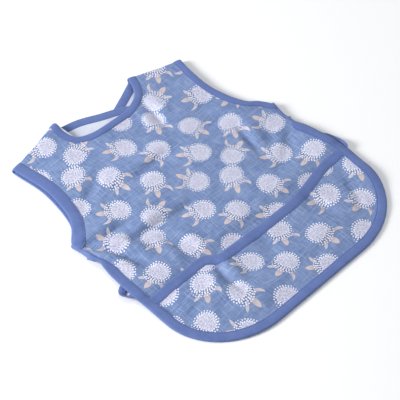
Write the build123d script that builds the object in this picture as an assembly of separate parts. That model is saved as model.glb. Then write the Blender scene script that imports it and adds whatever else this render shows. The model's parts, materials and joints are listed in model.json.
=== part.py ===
from build123d import *
import math
import os

# A toddler's sleeveless apron bib, lying flat with its front up. Millimetres, +Z up.
# X runs across the garment and +Y points from the hem to the neck. While a shape is
# made, y = 0 is the hem; export() then moves the origin to the middle of the length.

# Overall sizes
length = 424.0             # hem edge to the neck points
hem_half_width = 181.0     # widest place, just above the hem corners
underarm_half_width = 175.0
widest_y = 105.0
hem_corner_radius = 88.0

# Cloth and bias binding
cloth = 0.8                # printed cloth with its white coating
wrap = 0.6                 # binding tape on each side of the cloth
binding_width = 12.7       # half-inch bias binding

# Neck, shoulders and armholes
neck_half_width = 62.0
neck_depth = 40.0
shoulder_half_width = 146.0
shoulder_drop = 22.0       # how far a shoulder tip lies below the neck point
armhole_straight = 92.0    # below the neck points; the armhole is round further down
armhole_depth = 162.0      # below the neck points
roll_height = 27.0         # under the armhole the cloth rolls round to the back

# Heights of the layers above the table
flap_gap = 1.2             # between the two bindings where the back flaps cross
cavity_height = 12.5       # middle of the front cloth over the back flaps
tie_level = 4.9            # middle of the front cloth over the ties
lying_to_y = 128.0         # the front lies on the table up to here
tie_zone = (148.0, 188.0)  # the front lies on the ties between these
raised_run = 3.0           # the front is fully raised this far below the rolls

# Back flaps and their closure
flap_reach = 44.0          # how far a flap passes the centre line
flap_tip_top = 38.0        # below the neck point
flap_tip_bottom = 92.0
flap_tip_radius = 13.0
crease_clearance = 1.6     # cloth left free beside the crease, on the flap
binding_clearance = 5.0    # binding left free beside the crease, on the flap
patch_width = 46.0
patch_height = 18.0
patch_corner_radius = 3.0
patch_clearance = 0.3
patch_below_neck = 52.0

# Pocket
pocket_mouth_y = 126.0
pocket_flange = 16.0       # sewn flat beside the binding
pocket_rise = 6.4
pocket_slope = 60.0        # degrees from upright

# Ties
tie_width = 10.0
tie_thickness = 1.6
tie_clearance = 0.3
tie_reach = 191.0          # the fold of a tie sticks out this far
tie_root_y = 174.0
tie_run_y = 157.0
tie_run_length = 176.0
tie_corner_radius = 4.0

BIG = 600.0                # larger than the garment, for cutting shapes

low_level = cloth / 2 + wrap                       # the cloth that lies on the table
high_level = low_level + cloth + 2 * wrap + flap_gap
half_cloth = cloth / 2
half_bound = cloth / 2 + wrap
shoulder_y = length - shoulder_drop
armhole_round_y = length - armhole_straight
armhole_bottom_y = length - armhole_depth
roll_bottom_y = armhole_bottom_y - roll_height
raised_from_y = roll_bottom_y - raised_run
neck_point = Vector(neck_half_width, length)
shoulder_tip = Vector(shoulder_half_width, shoulder_y)
roll_bottom = Vector(underarm_half_width, roll_bottom_y)
shoulder_line = (shoulder_tip - neck_point).normalized()
crease_line = (roll_bottom - neck_point).normalized()


def cutter(face, low=-50.0, high=50.0):
    """A plan shape as a tall block, to cut a layer to that outline."""
    return Pos(0, 0, low) * extrude(face, amount=high - low)


def half_plane(point, direction, shift=0.0):
    """Everything to the left of a line through point, moved right by shift."""
    normal = Vector(-direction.Y, direction.X)
    start = point - normal * shift - direction * BIG
    end = point - normal * shift + direction * BIG
    return make_face(Polyline(start, end, end + normal * BIG, start + normal * BIG, close=True))


def front_layer(low, high):
    """The space from low to high about the middle of the front cloth, over all X."""
    rise = [
        (-10, low_level),
        (lying_to_y, low_level),
        (tie_zone[0], tie_level),
        (tie_zone[1], tie_level),
        (raised_from_y, cavity_height),
        (length + 10, cavity_height),
    ]
    bottom = [(y, z + low) for y, z in rise]
    top = [(y, z + high) for y, z in reversed(rise)]
    section = make_face(Plane.YZ * Polyline(*bottom, *top, close=True))
    return extrude(section, amount=BIG / 2, both=True)


def flat_layer(level, half_thickness):
    return Pos(0, 0, level) * Box(BIG, 2 * BIG, 2 * half_thickness)


def armhole(grow=0.0):
    """The right armhole, straight beside the shoulder and a quarter ellipse below it."""
    width = underarm_half_width - shoulder_half_width
    depth = armhole_round_y - armhole_bottom_y
    oval = Pos(underarm_half_width, armhole_round_y) * Ellipse(width + grow, depth + grow)
    beside = Pos(shoulder_half_width - grow, armhole_round_y) * Rectangle(
        BIG, BIG, align=(Align.MIN, Align.MIN)
    )
    outside = Pos(underarm_half_width, armhole_bottom_y - grow) * Rectangle(
        BIG, BIG, align=(Align.MIN, Align.MIN)
    )
    return oval + beside + outside


def neckline(grow=0.0):
    return Pos(0, length) * Ellipse(neck_half_width + grow, neck_depth + grow)


def below(y):
    """Everything on the hem side of a line across the garment."""
    return Pos(0, y) * Rectangle(2 * BIG, BIG, align=(Align.CENTER, Align.MAX))


def side_outline(inset=0.0):
    """The straight sides, with a slight taper, and the round hem corners."""
    side = [(underarm_half_width, length + 20), (underarm_half_width, roll_bottom_y)]
    side += [(hem_half_width, widest_y), (hem_half_width, 0)]
    left = [(-x, y) for x, y in reversed(side)]
    soft = 100.0
    radii = [0, soft, soft, hem_corner_radius, hem_corner_radius, soft, soft, 0]
    outline = make_face(FilletPolyline(*side, *left, radius=radii, close=True))
    if inset:
        return offset(outline, amount=-inset, kind=Kind.INTERSECTION)
    return outline


def fold_radius(level):
    """Outside radius of the cloth that folds from a layer up to the raised front."""
    return (cavity_height - level + cloth) / 2


def fold_section(level, half_thickness):
    """Half a ring that turns round to the outside, from one layer to the other."""
    middle = (level + cavity_height) / 2
    radius = fold_radius(level) - half_cloth
    centre = -radius - half_bound
    ring = Circle(radius + half_thickness) - Circle(radius - half_thickness)
    outside = Rectangle(BIG, BIG, align=(Align.MIN, Align.CENTER))
    return Pos(centre, middle) * (ring & outside)


def fold_inset(level):
    return fold_radius(level) - half_cloth + half_bound


def shoulder_fold(level, half_thickness, start, end):
    """A stretch of the right shoulder fold, measured from the neck point."""
    along = Vector(shoulder_line.X, shoulder_line.Y, 0)
    outward = Vector(-shoulder_line.Y, shoulder_line.X, 0)
    base = Plane(origin=neck_point + along * start, x_dir=outward, z_dir=along)
    return extrude(base * fold_section(level, half_thickness), amount=end - start)


def underarm_roll(level, half_thickness, start, end):
    """A stretch of the right underarm roll, between two heights on the garment."""
    base = Plane(origin=(underarm_half_width, end, 0), x_dir=(1, 0, 0), z_dir=(0, -1, 0))
    return extrude(base * fold_section(level, half_thickness), amount=end - start)


def roll_trim(level, clearance=0.0):
    """What a flat layer gives up to the underarm roll."""
    start = underarm_half_width - fold_inset(level) - clearance
    height = armhole_bottom_y - roll_bottom_y + clearance
    return Pos(start, roll_bottom_y - clearance) * Rectangle(
        BIG, height, align=(Align.MIN, Align.MIN)
    )


def left_copy(shape):
    return mirror(shape, Plane.YZ)


def under_fold(level, clearance=0.0):
    """Everything below the right shoulder fold, as a flat layer of that level sees it."""
    return half_plane(neck_point, shoulder_line * -1, -fold_inset(level) - clearance)


def front_face(edge=0.0):
    """Plan of the front between its folds, with its bound edges moved in by edge."""
    face = side_outline(edge) - neckline(edge) - armhole(edge) - left_copy(armhole(edge))
    face = face & under_fold(low_level) & left_copy(under_fold(high_level))
    return face - roll_trim(low_level) - left_copy(roll_trim(high_level))


def front_panel():
    return front_layer(-half_cloth, half_cloth) & cutter(front_face(wrap))


def yoke_face(level, edge=0.0):
    """Plan of the back beside the right armhole, from the crease outward."""
    face = (side_outline(edge) - armhole(edge)) & under_fold(level)
    face = face & half_plane(neck_point, crease_line)
    return (face - below(roll_bottom_y)) - roll_trim(level)


def back_yoke(level):
    fold_length = (shoulder_tip - neck_point).length
    plate = flat_layer(level, half_cloth) & cutter(yoke_face(level, wrap))
    fold = shoulder_fold(level, half_cloth, 0, fold_length)
    roll = underarm_roll(level, half_cloth, roll_bottom_y, armhole_bottom_y)
    return plate + fold + roll


def flap_outline():
    """The whole edge of the right flap, run on past its crease."""
    beyond = 40.0
    tip_top = Vector(-flap_reach, length - flap_tip_top)
    tip_bottom = Vector(-flap_reach + 6, length - flap_tip_bottom)
    neck_run = (neck_point - tip_top).normalized()
    low_run = (roll_bottom - tip_bottom).normalized()
    corners = [
        neck_point + neck_run * beyond,
        tip_top,
        tip_bottom,
        roll_bottom + low_run * beyond,
    ]
    radii = [0, flap_tip_radius, flap_tip_radius, 0]
    return make_face(FilletPolyline(*corners, radius=radii, close=True))


def flap_side(level, clearance):
    """The flap's side of the crease, and clear of the shoulder fold and underarm roll."""
    side = half_plane(neck_point, crease_line * -1, -clearance) & under_fold(level, clearance)
    return side - roll_trim(level, clearance)


def back_flap(level):
    outline = offset(flap_outline(), amount=-wrap, kind=Kind.INTERSECTION)
    return flat_layer(level, half_cloth) & cutter(outline & flap_side(level, crease_clearance))


def flap_binding(level):
    outline = flap_outline()
    band = outline - offset(outline, amount=-binding_width, kind=Kind.INTERSECTION)
    band = band & flap_side(level, binding_clearance)
    return (flat_layer(level, half_bound) & cutter(band)) - back_flap(level)


def closure_patch(low, high):
    outline = RectangleRounded(patch_width, patch_height, patch_corner_radius)
    centre_y = length - patch_below_neck - patch_height / 2
    return Pos(0, centre_y, low) * extrude(outline, amount=high - low)


def neck_binding():
    """Binding of the front scoop, carried a little way round each neck point."""
    band = (neckline(binding_width) - neckline()) & front_face()
    flat = front_layer(-half_bound, half_bound) & cutter(band)
    right = shoulder_fold(low_level, half_bound, 0, binding_width)
    left = left_copy(shoulder_fold(high_level, half_bound, 0, binding_width))
    folds = (right - back_yoke(low_level)) + (left - left_copy(back_yoke(high_level)))
    return (flat - front_panel()) + folds


def armhole_binding(level):
    """Binding all the way round the right armhole: front, shoulder, back and underarm."""
    fold_length = (shoulder_tip - neck_point).length
    grown = armhole(binding_width)
    front_band = cutter(front_face() & grown)
    back_band = cutter(yoke_face(level) & grown)
    ring = front_layer(-half_bound, half_bound) & front_band
    ring += flat_layer(level, half_bound) & back_band
    ring += shoulder_fold(level, half_bound, fold_length - binding_width, fold_length)
    ring += underarm_roll(level, half_bound, armhole_bottom_y - binding_width, armhole_bottom_y)
    return ring - back_yoke(level) - front_panel()


def hem_binding():
    """Binding down both sides and along the hem, thicker where it holds the pocket too."""
    band = (side_outline() - side_outline(binding_width)) & below(roll_bottom_y)
    beside_pocket = cutter(band & below(pocket_mouth_y))
    thin = front_layer(-half_bound, half_bound) & cutter(band)
    thick = front_layer(-half_bound, half_bound + cloth) & beside_pocket
    return thin + thick - front_panel() - pocket_panel()


def pocket_shell(grow):
    """The pocket's bulge: a low tray with sloping sides that runs on past the mouth."""
    rise = extrude(side_outline(binding_width), amount=pocket_rise, taper=pocket_slope)
    base = low_level + half_cloth
    return (Pos(0, 0, base + grow) * rise) - (Pos(0, 0, base - cloth - grow) * rise)


def pocket_panel():
    base = low_level + half_cloth
    flange = side_outline(wrap) - side_outline(pocket_flange)
    sewn = Pos(0, 0, base) * extrude(flange, amount=cloth)
    bulge = pocket_shell(0) & cutter(side_outline(), low=base)
    return (sewn + bulge) & cutter(below(pocket_mouth_y))


def pocket_binding():
    """Binding over the pocket's mouth."""
    top = pocket_mouth_y + wrap
    mouth = (side_outline(binding_width) & below(top)) - below(top - binding_width)
    above_front = cutter(mouth, low=low_level + half_cloth)
    return (pocket_shell(wrap) & above_front) - pocket_panel()


def tie_stub():
    """The end of the right tie, sewn under the side binding, out to where it folds."""
    top = tie_level - half_bound
    sewn_width = tie_reach - (underarm_half_width - binding_width)
    block = Box(sewn_width, tie_width, tie_thickness, align=(Align.MAX, Align.CENTER, Align.MAX))
    return Pos(tie_reach, tie_root_y, top) * block


def tie_run():
    """The rest of the right tie: it comes back from the fold and in under the front."""
    half = tie_width / 2
    corners = [
        (tie_reach, tie_root_y + half),
        (tie_reach, tie_run_y - half),
        (tie_reach - tie_run_length, tie_run_y - half),
        (tie_reach - tie_run_length, tie_run_y + half),
        (tie_reach - tie_width, tie_run_y + half),
        (tie_reach - tie_width, tie_root_y + half),
    ]
    radii = [0, tie_corner_radius, 0, 0, 0, 0]
    outline = make_face(FilletPolyline(*corners, radius=radii, close=True))
    return Pos(0, 0, tie_clearance) * extrude(outline, amount=tie_thickness)


def export(name, shape):
    export_step(Pos(0, -length / 2, 0) * shape, f"parts/{name}.step")


def main():
    os.makedirs("parts", exist_ok=True)
    hook_low = low_level + half_cloth
    loop_high = high_level - half_cloth
    patch_split = (hook_low + loop_high) / 2
    half_gap = patch_clearance / 2

    export("front_panel", front_panel())
    export("back_yoke_right", back_yoke(low_level))
    export("back_yoke_left", left_copy(back_yoke(high_level)))
    export("back_flap_right", back_flap(low_level))
    export("back_flap_left", left_copy(back_flap(high_level)))
    export("flap_binding_right", flap_binding(low_level))
    export("flap_binding_left", left_copy(flap_binding(high_level)))
    export("closure_hook_patch", closure_patch(hook_low, patch_split - half_gap))
    export("closure_loop_patch", closure_patch(patch_split + half_gap, loop_high))
    export("neck_binding", neck_binding())
    export("armhole_binding_right", armhole_binding(low_level))
    export("armhole_binding_left", left_copy(armhole_binding(high_level)))
    export("hem_binding", hem_binding())
    export("pocket_panel", pocket_panel())
    export("pocket_binding", pocket_binding())
    export("tie_stub_right", tie_stub())
    export("tie_stub_left", left_copy(tie_stub()))
    export("tie_right", tie_run())
    export("tie_left", left_copy(tie_run()))


main()
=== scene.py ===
# %% [markdown]
# # A toddler's apron bib
# A sleeveless bib of printed coated cloth lies on a table with its front up. One cut of
# cloth makes the front and, folded over at the shoulders, both back panels. Every raw
# edge is wrapped in bias binding, and a second cut makes the catch pocket.
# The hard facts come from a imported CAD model: sizes, hinges, names. This script makes
# the cloth, because a CAD solid can't wrinkle.

import json
import math

import bmesh
import bpy
from mathutils import Matrix, Vector, noise


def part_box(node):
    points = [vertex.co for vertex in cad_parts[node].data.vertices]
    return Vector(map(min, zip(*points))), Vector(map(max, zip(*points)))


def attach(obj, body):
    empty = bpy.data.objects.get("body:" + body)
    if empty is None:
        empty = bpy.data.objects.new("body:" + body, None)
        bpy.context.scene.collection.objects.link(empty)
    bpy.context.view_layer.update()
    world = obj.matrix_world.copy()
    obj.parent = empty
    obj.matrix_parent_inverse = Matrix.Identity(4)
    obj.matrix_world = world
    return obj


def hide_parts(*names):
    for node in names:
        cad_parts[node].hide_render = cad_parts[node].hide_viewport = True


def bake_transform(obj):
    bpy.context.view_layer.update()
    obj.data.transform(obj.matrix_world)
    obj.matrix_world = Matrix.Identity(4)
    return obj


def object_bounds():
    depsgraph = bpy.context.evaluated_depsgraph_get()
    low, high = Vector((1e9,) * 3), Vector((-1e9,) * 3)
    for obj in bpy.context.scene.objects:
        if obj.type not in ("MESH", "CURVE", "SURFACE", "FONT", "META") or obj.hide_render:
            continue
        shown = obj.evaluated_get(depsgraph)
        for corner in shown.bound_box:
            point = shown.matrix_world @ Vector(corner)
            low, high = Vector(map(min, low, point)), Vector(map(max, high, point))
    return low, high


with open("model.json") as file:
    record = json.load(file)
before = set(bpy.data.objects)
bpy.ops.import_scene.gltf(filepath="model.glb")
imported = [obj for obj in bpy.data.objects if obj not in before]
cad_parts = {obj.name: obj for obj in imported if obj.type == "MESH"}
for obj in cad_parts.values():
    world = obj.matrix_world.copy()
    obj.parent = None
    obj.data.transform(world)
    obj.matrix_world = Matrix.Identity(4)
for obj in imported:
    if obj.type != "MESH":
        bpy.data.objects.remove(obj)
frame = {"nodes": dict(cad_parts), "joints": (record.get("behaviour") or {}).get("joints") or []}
cad_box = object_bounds()
MM = 0.001
hem_low, hem_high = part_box("hem_binding")
hem_y = hem_low[1]
half_width = hem_high[0] / MM
length = (cad_box[1][1] - cad_box[0][1]) / MM
print("garment", round(2 * half_width), "mm wide and", round(length), "mm long")

# %% [markdown]
# ## Working in the tailor's measures
# Garment pieces are easiest to think of as they lie on the cutting table: x across from
# the middle, y up from the hem, both in millimetres. One function turns such a place
# into the scene's metres. Curves are drawn by a spline through a few chosen points.

# %% Places, steps and splines
def place(x, y, z):
    return Vector((x * MM, hem_y + y * MM, z * MM))


def smooth(low, high, value):
    """A soft step: 0 up to low, 1 from high on."""
    t = min(max((value - low) / (high - low), 0.0), 1.0)
    return t * t * (3 - 2 * t)


def mix(a, b, t):
    return a + (b - a) * t


def spline(points, t):
    """A Catmull-Rom curve through the points, evenly spread over t from 0 to 1."""
    spans = len(points) - 1
    span = min(int(t * spans), spans - 1)
    f = t * spans - span
    b, c = Vector(points[span]), Vector(points[span + 1])
    a = Vector(points[span - 1]) if span else 2 * b - c
    d = Vector(points[span + 2]) if span + 2 <= spans else 2 * c - b
    return 0.5 * (2 * b + (c - a) * f + (2 * a - 5 * b + 4 * c - d) * f**2 + (3 * b - a - 3 * c + d) * f**3)


print("right end of the hem at", [round(c, 3) for c in place(half_width, 0, 0)])

# %% [markdown]
# ## The camera
# A long lens from 2.5 m away shows a flat garment with hardly any perspective. It looks
# down at 51 degrees from beyond the left hem corner, so that both the outline and the
# creases can be read.

# %% Camera
camera_data = bpy.data.cameras.new("camera")
camera_data.sensor_width = 36.0
camera_data.lens = 175.1
camera_data.clip_end = 20
camera = bpy.data.objects.new("camera", camera_data)
bpy.context.scene.collection.objects.link(camera)
elevation, turn, distance = math.radians(51.02), math.radians(-45.03), 2.508
aim = place(-12.2, 203.8, 0)
back = Vector((
    math.sin(turn) * math.cos(elevation),
    -math.cos(turn) * math.cos(elevation),
    math.sin(elevation),
))
camera.location = aim + back * distance
camera.rotation_euler = back.to_track_quat("Z", "Y").to_euler()
bpy.context.scene.camera = camera
print("camera at", [round(c, 3) for c in camera.location])

# %% [markdown]
# ## The table and the light
# The table is one large face, just under the garment. It isn't part of the object.
# Cloth shows best under a large soft light from one side: a small hard light would turn
# every wrinkle into a black line. A pale world and a weak second light fill the shadows.

# %% Table and lights
TABLE_HALF = 6         # half the table's width in metres
TABLE_GAP = 0.2 * MM   # the table lies this far under the cloth, so the two never flicker


def new_object(name, mesh):
    thing = bpy.data.objects.new(name, mesh)
    bpy.context.scene.collection.objects.link(thing)
    return thing


table_mesh = bpy.data.meshes.new("table")
bm = bmesh.new()
bmesh.ops.create_grid(bm, x_segments=1, y_segments=1, size=TABLE_HALF)
bmesh.ops.translate(bm, verts=bm.verts, vec=(0, 0, -TABLE_GAP))
bm.to_mesh(table_mesh)
bm.free()
table = new_object("table", table_mesh)

world = bpy.data.worlds.new("studio")
world.use_nodes = True
world.node_tree.nodes["Background"].inputs["Color"].default_value = (0.93, 0.96, 1.0, 1)
world.node_tree.nodes["Background"].inputs["Strength"].default_value = 0.52
bpy.context.scene.world = world


def soft_light(name, where, size, power):
    """A round light of that width in metres, turned to the middle of the garment."""
    data = bpy.data.lights.new(name, "AREA")
    data.shape = "DISK"
    data.size = size
    data.energy = power
    lamp = new_object(name, data)
    lamp.location = where
    lamp.rotation_euler = Vector(where).to_track_quat("Z", "Y").to_euler()
    print(name, "light", power, "W")


soft_light("key", (-1.6, 1.0, 1.0), 0.8, 50)
soft_light("fill", (1.2, 0.6, 2.2), 1.6, 10)
bpy.context.scene.view_settings.view_transform = "Standard"

# %% [markdown]
# ## Building materials from nodes
# Colours are written as a printer or a dyer would quote them, in sRGB hex, and turned
# to the linear values that a shader works in. One function adds any node, with its
# settings, its numbers and its links, and gives back the output that is in use. So a
# formula can be written one node to a line, each feeding the next.

# %% Node helper
SOFT = {"interpolation_type": "SMOOTHSTEP"}  # a Map Range with a soft step
COLOUR = {"data_type": "RGBA"}               # a Mix of two colours


def linear(hex_colour):
    parts = [int(hex_colour[i : i + 2], 16) / 255 for i in (1, 3, 5)]
    return [p / 12.92 if p <= 0.04045 else ((p + 0.055) / 1.055) ** 2.4 for p in parts] + [1.0]


def add(tree, kind, inputs=(), **settings):
    """Adds a node. Its inputs are sockets to link or plain values, in order or by name."""
    node = tree.nodes.new("ShaderNode" + kind)
    for key, value in settings.items():
        setattr(node, key, value)
    named = inputs if isinstance(inputs, dict) else dict(enumerate(inputs))
    for key, value in named.items():
        if isinstance(value, bpy.types.NodeSocket):
            tree.links.new(value, node.inputs[key])
        else:
            node.inputs[key].default_value = value
    return next(output for output in node.outputs if output.enabled)


def new_material(name):
    material = bpy.data.materials.new(name)
    material.use_nodes = True
    tree = material.node_tree
    shader = tree.nodes["Principled BSDF"]
    return material, tree, shader


print("a mid blue in linear values:", [round(c, 3) for c in linear("#647AA8")])

# %% [markdown]
# ## The print: woven polyester with a waratah-like flower
# The cloth is a plain-weave polyester, printed with pale round flower heads over a
# ground that imitates slubbed linen. The whole pattern repeats every 142 by 146 mm and
# holds eight flowers. It could be eight separate drawings. Here one drawing is made once
# in its own coordinates, and each point of cloth asks which flower is nearest, and how
# that flower is turned. The UV map holds millimetres of flat cloth, so the print follows
# the cloth through every fold, as ink does.

# %% Nearest flower
REPEAT = (142.0, 146.0)
# Middle of each head in the repeat, in mm, and the way its broad leaf points, in degrees.
FLOWERS = [
    (7.0, 81.5, 113), (67.0, 79.5, 16), (44.5, 57.0, -117), (121.5, 43.0, 156),
    (70.0, 14.0, -78), (10.0, 12.0, 191), (43.5, 118.0, 147), (109.0, 123.5, -119),
]
STEM_SHIFT = 4.0  # the leaves make a flower's middle lie this far towards its stem


def seen_by(tree, cloth, flower):
    """The place on the cloth as one flower sees it: head at 0, stem along -Y."""
    x, y, stem = flower
    half = (REPEAT[0] / 2, REPEAT[1] / 2, 1)
    minus_half = tuple(-h for h in half)
    moved = add(tree, "VectorMath", (cloth, (x, y, 0)), operation="SUBTRACT")
    wrapped = add(tree, "VectorMath", (moved, half, minus_half), operation="WRAP")
    turned = {"Vector": wrapped, "Angle": math.radians(-90 - stem)}
    return add(tree, "VectorRotate", turned, rotation_type="Z_AXIS")


def nearest_flower(tree, cloth):
    """The place on the cloth as the nearest flower sees it."""
    best, best_distance = None, None
    for flower in FLOWERS:
        seen = seen_by(tree, cloth, flower)
        shifted = add(tree, "VectorMath", (seen, (0, STEM_SHIFT, 0)), operation="ADD")
        distance = add(tree, "VectorMath", (shifted,), operation="LENGTH")
        if best is None:
            best, best_distance = seen, distance
            continue
        closer = add(tree, "Math", (distance, best_distance), operation="LESS_THAN")
        best = add(tree, "Mix", {"Factor": closer, "A": best, "B": seen}, data_type="VECTOR")
        best_distance = add(tree, "Math", (distance, best_distance), operation="MINIMUM")
    return best


print(len(FLOWERS), "flowers in a repeat of", REPEAT, "mm")

# %% [markdown]
# ### The head of a flower
# A head about 27 mm across, filled with a nap of short pale strokes that lean one way.
# Its rim is ragged, and on the leaves' side the head is cut back. The nap is stretched
# noise, cut off sharply into light and dark, and a cloudy noise makes some of its dark
# bluer and some of it redder.

# %% Head
HEAD_RADIUS = 12.4
RAGGED = 1.3      # the rim wanders this far in and out, in mm
CUT_BACK = 2.2    # and lies this much further in beside the leaves


def flower_head(tree, on_flower, radius, stem_side, colour):
    ragged = add(tree, "TexNoise", {"Vector": on_flower, "Scale": 0.5, "Detail": 1.0})
    rim = add(tree, "Math", (ragged, 2 * RAGGED, HEAD_RADIUS - RAGGED), operation="MULTIPLY_ADD")
    by_leaves = add(tree, "MapRange", (stem_side, 0.45, 0.85), **SOFT)
    cut = add(tree, "Math", (by_leaves, CUT_BACK), operation="MULTIPLY")
    rim = add(tree, "Math", (rim, cut), operation="SUBTRACT")
    depth = add(tree, "Math", (rim, radius), operation="SUBTRACT")
    inside = add(tree, "MapRange", (depth, -0.4, 0.4), **SOFT)
    leaning = {"Vector": on_flower, "Rotation": (0, 0, math.radians(35)), "Scale": (0.85, 0.3, 1)}
    strokes = add(tree, "TexNoise", {"Vector": add(tree, "Mapping", leaning), "Scale": 1.0})
    nap = add(tree, "MapRange", (strokes, 0.43, 0.55), **SOFT)
    clouds = add(tree, "TexNoise", {"Vector": on_flower, "Scale": 0.12})
    redder = add(tree, "MapRange", (clouds, 0.35, 0.65), **SOFT)
    dark = add(tree, "Mix", {"Factor": redder, "A": linear("#A3ABC6"), "B": linear("#B0ABC8")}, **COLOUR)
    fill = add(tree, "Mix", {"Factor": nap, "A": dark, "B": linear("#D6D6E5")}, **COLOUR)
    return add(tree, "Mix", {"Factor": inside, "A": colour, "B": fill}, **COLOUR)


# %% [markdown]
# ### The dots
# Round the head stands a rim of dots like the heads of pins, and looser ones beyond it.
# On the leaves' side there are more rows, with the dark of the cloth between. They could
# be placed one by one. Here the angle round the flower counts them off, the radius places
# the ring, and a random number moves each dot a little in or out.

# %% Dots
# Radius of the ring in mm, dots in it, radius of a dot, and where it starts: -1 is the
# whole ring, 0.5 only the third of it round the leaves.
DOT_RINGS = [
    (13.0, 25, 1.08, -1.0), (15.5, 27, 1.02, -1.0), (18.2, 32, 0.92, 0.55), (10.7, 20, 0.95, 0.5),
]
STRAY = 1.1  # how far a dot may stray in or out, in mm


def dot_ring(tree, radius, angle, stem_side, ring, colour):
    ring_radius, count, dot, start = ring
    turns = add(tree, "Math", (angle, count / math.tau, ring_radius), operation="MULTIPLY_ADD")
    number = add(tree, "Math", (turns,), operation="FLOOR")
    own = add(tree, "TexWhiteNoise", {"W": number}, noise_dimensions="1D")
    part = add(tree, "Math", (turns,), operation="FRACT")
    part = add(tree, "Math", (part, 0.5), operation="SUBTRACT")
    along = add(tree, "Math", (part, math.tau * ring_radius / count), operation="MULTIPLY")
    middle = add(tree, "Math", (own, STRAY, ring_radius - STRAY / 2), operation="MULTIPLY_ADD")
    across = add(tree, "Math", (radius, middle), operation="SUBTRACT")
    offset = add(tree, "CombineXYZ", (along, across))
    off = add(tree, "VectorMath", (offset,), operation="LENGTH")
    here = add(tree, "MapRange", (off, dot + 0.3, dot - 0.25), **SOFT)
    if start > -1:
        in_reach = add(tree, "MapRange", (stem_side, start - 0.25, start + 0.25), **SOFT)
        here = add(tree, "Math", (here, in_reach), operation="MULTIPLY")
    return add(tree, "Mix", {"Factor": here, "A": colour, "B": linear("#E7E9F5")}, **COLOUR)


print(sum(count for _, count, _, start in DOT_RINGS if start == -1), "dots round a whole head")

# %% [markdown]
# ### The leaves
# Three leaves hang from each head: a broad one in the middle, a small one on its left and
# a long hooked one on its right. A leaf is a lens bent along a parabola: t runs along it
# from 0 to 1, t times (1 - t) gives both its width and its bend, and the distance to its
# edge colours it in.

# %% Leaves
# Base of the leaf, its direction in degrees, length, half width, bend, in mm; fills.
LEAVES = [
    ((-5.5, -13.2), -143, 13.5, 2.4, 0.6, "#C6C8D0", "#A9ABC0"),
    ((0.0, -13.6), -90, 17.0, 3.9, 0.7, "#CBBFC3", "#AEA6B4"),
    ((6.5, -14.8), -35, 17.5, 2.4, 5.2, "#CAC4CC", "#ABA7BA"),
]


def leaf(tree, on_flower, shape, colour):
    (x, y), direction, long, wide, bend, fill, dark = shape
    own = add(tree, "Mapping", {
        "Vector": on_flower, "Location": (x, y, 0),
        "Rotation": (0, 0, math.radians(direction)), "Scale": (long, long, 1),
    }, vector_type="TEXTURE")
    t = add(tree, "SeparateXYZ", (own,))
    side = t.node.outputs["Y"]
    left = add(tree, "Math", (1.0, t), operation="SUBTRACT")
    arch = add(tree, "Math", (t, left), operation="MULTIPLY")
    arch = add(tree, "Math", (arch, 0.0), operation="MAXIMUM")
    bow = add(tree, "Math", (arch, 4 * bend / long), operation="MULTIPLY")
    off = add(tree, "Math", (side, bow), operation="SUBTRACT")
    off = add(tree, "Math", (off,), operation="ABSOLUTE")
    room = add(tree, "Math", (arch, 4.0), operation="MULTIPLY")
    room = add(tree, "Math", (room, 0.75), operation="POWER")
    room = add(tree, "Math", (room, wide / long), operation="MULTIPLY")
    depth = add(tree, "Math", (room, off), operation="SUBTRACT")
    depth = add(tree, "Math", (depth, long), operation="MULTIPLY")
    between_ends = add(tree, "MapRange", (arch, 0.0, 0.03), **SOFT)
    edge = add(tree, "MapRange", (depth, -0.7, -0.1), **SOFT)
    edge = add(tree, "Math", (edge, between_ends), operation="MULTIPLY")
    outlined = add(tree, "Mix", {"Factor": edge, "A": colour, "B": linear("#7C7F9E")}, **COLOUR)
    to_tip = add(tree, "MapRange", (t, 0.15, 0.75), **SOFT)
    flesh = add(tree, "Mix", {"Factor": to_tip, "A": linear(dark), "B": linear(fill)}, **COLOUR)
    from_vein = add(tree, "Math", (off, long), operation="MULTIPLY")
    vein = add(tree, "MapRange", (from_vein, 0.5, 0.1), **SOFT)
    vein = add(tree, "Math", (vein, 0.4), operation="MULTIPLY")
    flesh = add(tree, "Mix", {"Factor": vein, "A": flesh, "B": linear("#A79DAE")}, **COLOUR)
    body = add(tree, "MapRange", (depth, -0.1, 0.35), **SOFT)
    body = add(tree, "Math", (body, between_ends), operation="MULTIPLY")
    return add(tree, "Mix", {"Factor": body, "A": outlined, "B": flesh}, **COLOUR)


print(len(LEAVES), "leaves, the longest", max(shape[2] for shape in LEAVES), "mm")

# %% [markdown]
# ### The ground and the weave
# Slubbed linen is drawn by long thin streaks both ways, lighter and darker than the dye,
# over broad watery patches. The real weave under the print has about 3 threads in a
# millimetre. That is too fine to show, so its bump is drawn at one thread in 0.7 mm.

# %% Linen ground
PRINT_THREAD = 0.7  # mm
# Scale of the noise across and along, from and to where it fades in, strength, colour.
SLUBS = [
    (0.5, 0.04, 0.45, 0.68, 0.6, "#566CA0"),
    (0.04, 0.5, 0.45, 0.68, 0.5, "#7C96BE"),
    (0.62, 0.045, 0.49, 0.66, 0.45, "#9FB1D2"),
    (0.045, 0.62, 0.49, 0.66, 0.45, "#9FB1D2"),
]


def streaks(tree, cloth, across, along):
    """Noise drawn out along one direction of the cloth."""
    stretched = add(tree, "Mapping", {"Vector": cloth, "Scale": (across, along, 1)})
    return add(tree, "TexNoise", {"Vector": stretched, "Scale": 1.0, "Detail": 3.0, "Roughness": 0.6})


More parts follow.
